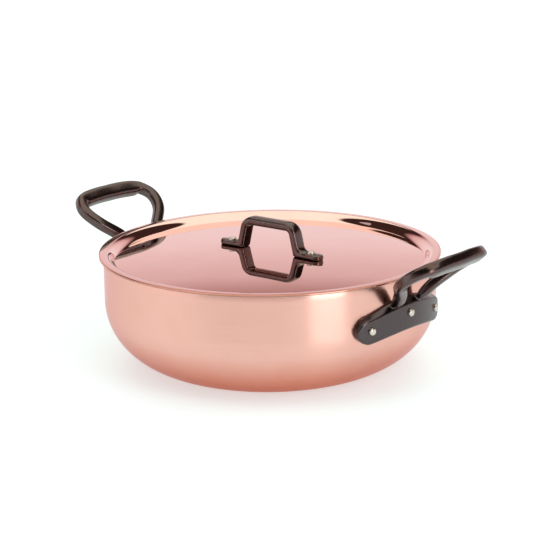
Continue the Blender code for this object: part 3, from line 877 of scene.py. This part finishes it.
class SAUTEPAN_OT_lid_rivets(bpy.types.Operator):
    """Set the two rivets through the lid handle's feet"""

    bl_idname = "sautepan.lid_rivets"
    bl_label = "Lid rivets"

    def execute(self, context):
        sizes = context.scene.saute_pan
        rivet, handle, lid = sizes.rivet, sizes.lid_handle, sizes.lid
        sunk, head = 0.0004, 0.005
        at = handle.length / 2 - rivet.lid_inset
        under = lid_top(lid, np.array([at, at + head]))
        seat = float(under[0]) + handle.foot
        grip = seat - (float(under[1]) - lid.sheet)
        steel = finish(headed_steel, sizes.colours)
        profile = rivet_profile(rivet.lid_button, rivet.lid_rise, sunk, grip, head)
        for hand, side in (("right", 1), ("left", -1)):
            matrix = Matrix.Translation((side * at, handle.aside, seat))
            matrix = Matrix.Rotation(lid.turn, 4, "Z") @ matrix
            name = f"lid_{hand}_rivet"
            mesh = skin(name, placed(turned(profile, RIVET_STEPS), matrix))
            show(name, mesh, steel, "lid", "rivet_steel", f"lid_rivet_{hand}")
        return {"FINISHED"}


# Stage

def lay_table(scene, colours):
    """A flat round table: a straight profile from Z outwards, carried round."""
    radius, steps = 6.0, 24
    reach = np.linspace(0.0, radius, steps + 1)
    table = np.stack([reach, np.zeros(steps + 1)], -1)
    floor = bpy.data.objects.new("table", skin("table", turned(table, TABLE_STEPS)))
    scene.collection.objects.link(floor)
    floor.data.materials.append(finish(lit_acrylic, colours))
    if floor.data.polygons[0].normal.z < 0:
        floor.data.flip_normals()
    floor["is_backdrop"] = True


def light_room(scene, away, right, top):
    """The room's light: a backdrop that fades upwards, and a diffuser in a sloping ceiling."""
    world = bpy.data.worlds.new("studio")
    scene.world = world
    world.use_nodes = True
    tree = world.node_tree
    ray = add(tree, "ShaderNodeTexCoord", {}, {}).outputs["Generated"]
    height = add(tree, "ShaderNodeSeparateXYZ", {}, {0: ray}).outputs[2]
    ramp = add(tree, "ShaderNodeValToRGB", {}, {0: height})
    # Sine of the elevation, then the light there: a lit backdrop that fades into a dark room
    steps = (
        (0.00, (1.00, 0.970, 0.970)),
        (0.11, (1.00, 0.870, 0.880)),
        (0.22, (0.98, 0.805, 0.800)),
        (0.33, (0.81, 0.590, 0.575)),
        (0.38, (0.48, 0.280, 0.264)),
        (0.43, (0.05, 0.025, 0.020)),
    )
    stops = ramp.color_ramp.elements
    while len(stops) < len(steps):
        stops.new(0.5)
    for stop, (share, light) in zip(stops, steps):
        stop.position = share
        stop.color = (*light, 1.0)

    climb = 0.27  # The ceiling's rise for each metre away
    dot, soft = {"operation": "DOT_PRODUCT"}, {"interpolation_type": "SMOOTHSTEP"}
    along, across, rise = (
        add(tree, "ShaderNodeVectorMath", dot | {1: line}, {0: ray}).outputs["Value"]
        for line in (away, right, top - away * climb)
    )
    # The side of the room behind the camera has half the light.
    dim, behind, beside = 0.50, -0.75, -0.35
    room = soft | spread(dim, 1.0, behind, beside)
    room = add(tree, "ShaderNodeMapRange", room, {0: along}).outputs[0]
    lit = {0: ramp.outputs[0], "Scale": room}
    lit = add(tree, "ShaderNodeVectorMath", {"operation": "SCALE"}, lit).outputs[0]
    backdrop = tree.nodes["Background"]
    link(tree, backdrop, {"Color": lit})

    # The ceiling's diffuser is a plane that climbs away from the camera: where a ray meets it,
    # across and along, is the ray's own part over its rise from that plane. The diffuser's
    # middle and half its size are in heights of the ceiling, and its edge is soft.
    blur, spots = 0.06, []
    for part, middle, half in ((across, 0.10, 0.82), (along, 1.2, 1.8)):
        spot = add(tree, "ShaderNodeMath", {"operation": "DIVIDE"}, {0: part, 1: rise}).outputs[0]
        centred = {"operation": "SUBTRACT", 1: middle}
        spot = add(tree, "ShaderNodeMath", centred, {0: spot}).outputs[0]
        spot = add(tree, "ShaderNodeMath", {"operation": "ABSOLUTE"}, {0: spot}).outputs[0]
        edge = soft | spread(1.0, 0.0, half * (1 - blur), half * (1 + blur))
        spots.append(add(tree, "ShaderNodeMapRange", edge, {0: spot}).outputs[0])
    both = {0: spots[0], 1: spots[1]}
    share = add(tree, "ShaderNodeMath", {"operation": "MULTIPLY"}, both).outputs[0]
    diffuser = {"Color": (1.0, 0.975, 0.83, 1.0), "Strength": 1.38}
    diffuser = add(tree, "ShaderNodeBackground", diffuser, {}).outputs[0]
    both = {0: share, 1: backdrop.outputs[0], 2: diffuser}
    both = add(tree, "ShaderNodeMixShader", {}, both).outputs[0]
    link(tree, tree.nodes["World Output"], {"Surface": both})


def hang_lamps(scene, away, right, top):
    """Two soft lamps, each a rectangle that faces the pan's middle."""
    target = top * 0.06
    # Name, place, width and height in metres, and power in watts
    lamps = (
        ("tall_soft_box", right * 0.69 - away * 0.93 + top * 0.45, (0.50, 0.9), 5.0),
        ("white_card", top * 0.62 - right * 1.03 - away * 0.38, (1.2, 1.1), 2.2),
    )
    for name, place, (wide, high), power in lamps:
        lamp = bpy.data.lights.new(name, "AREA")
        lamp.shape = "RECTANGLE"
        lamp.size, lamp.size_y = wide, high
        lamp.energy = power
        box = bpy.data.objects.new(name, lamp)
        look = (place - target).normalized()
        sideways = top.cross(look).normalized()
        facing = Matrix((sideways, look.cross(sideways), look)).transposed().to_4x4()
        box.matrix_world = Matrix.Translation(place) @ facing
        scene.collection.objects.link(box)


def set_camera(scene, studio, away, right, top):
    """The camera: ahead, over and side are its own axes, and the roll leans the last two."""
    ahead = away * math.cos(studio.elevation) - top * math.sin(studio.elevation)
    over = away * math.sin(studio.elevation) + top * math.cos(studio.elevation)
    side = right * math.cos(studio.roll) - over * math.sin(studio.roll)
    crown = right * math.sin(studio.roll) + over * math.cos(studio.roll)
    data = bpy.data.cameras.new("camera")
    data.sensor_width = SENSOR_WIDTH
    data.lens = studio.lens
    camera = bpy.data.objects.new("camera", data)
    place = right * studio.shift_x + over * studio.shift_y - ahead * studio.distance
    facing = Matrix((side, crown, -ahead)).transposed().to_4x4()
    camera.matrix_world = Matrix.Translation(place) @ facing
    scene.collection.objects.link(camera)
    scene.camera = camera


class SAUTEPAN_OT_stage(bpy.types.Operator):
    """Set up the pale table, the soft light and the camera"""

    bl_idname = "sautepan.stage"
    bl_label = "Stage"

    def execute(self, context):
        scene = context.scene
        studio, colours = scene.saute_pan.studio, scene.saute_pan.colours
        scene.view_settings.view_transform = "Standard"
        away = Vector((-math.sin(studio.azimuth), math.cos(studio.azimuth), 0.0))
        right = Vector((math.cos(studio.azimuth), math.sin(studio.azimuth), 0.0))
        top = Vector((0.0, 0.0, 1.0))
        lay_table(scene, colours)
        light_room(scene, away, right, top)
        hang_lamps(scene, away, right, top)
        set_camera(scene, studio, away, right, top)
        return {"FINISHED"}


class SAUTEPAN_PT_parts(bpy.types.Panel):
    """The pan's pieces, in the order they are made"""

    bl_label = "Saute Pan"
    bl_idname = "SAUTEPAN_PT_parts"
    bl_space_type = "VIEW_3D"
    bl_region_type = "UI"
    bl_category = "Saute Pan"

    def draw(self, context):
        for operator in OPERATORS:
            self.layout.operator(operator.bl_idname)
        for name in GROUPS:
            box = self.layout.box()
            for size in GROUPS[name].__annotations__:
                box.prop(getattr(context.scene.saute_pan, name), size)


GROUPS = {
    "pan": PanSizes,
    "lid": LidSizes,
    "lid_handle": LidHandleSizes,
    "side_handle": SideHandleSizes,
    "rivet": RivetSizes,
    "colours": PanColours,
    "studio": StudioSettings,
}


class SautePanSettings(bpy.types.PropertyGroup):
    """All sizes and colours of the pan"""

    pan: PointerProperty(type=PanSizes)
    lid: PointerProperty(type=LidSizes)
    lid_handle: PointerProperty(type=LidHandleSizes)
    side_handle: PointerProperty(type=SideHandleSizes)
    rivet: PointerProperty(type=RivetSizes)
    colours: PointerProperty(type=PanColours)
    studio: PointerProperty(type=StudioSettings)


OPERATORS = (
    SAUTEPAN_OT_pan,
    SAUTEPAN_OT_side_handles,
    SAUTEPAN_OT_side_rivets,
    SAUTEPAN_OT_lid,
    SAUTEPAN_OT_lid_handle,
    SAUTEPAN_OT_lid_rivets,
    SAUTEPAN_OT_stage,
)


def register():
    for made in (*GROUPS.values(), SautePanSettings, *OPERATORS, SAUTEPAN_PT_parts):
        bpy.utils.register_class(made)
    bpy.types.Scene.saute_pan = PointerProperty(type=SautePanSettings)


def unregister():
    del bpy.types.Scene.saute_pan
    for made in (SAUTEPAN_PT_parts, *OPERATORS, SautePanSettings, *GROUPS.values()):
        bpy.utils.unregister_class(made)


def main():
    register()
    bpy.ops.sautepan.pan()
    bpy.ops.sautepan.side_handles()
    bpy.ops.sautepan.side_rivets()
    bpy.ops.sautepan.lid()
    bpy.ops.sautepan.lid_handle()
    bpy.ops.sautepan.lid_rivets()
    bpy.ops.sautepan.stage()
    boxes = {"cad": CAD_BOX, "visual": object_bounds()}
    boxes = {
        name: [[float(value) for value in corner] for corner in box] for name, box in boxes.items()
    }


if __name__ == "__main__":
    main()
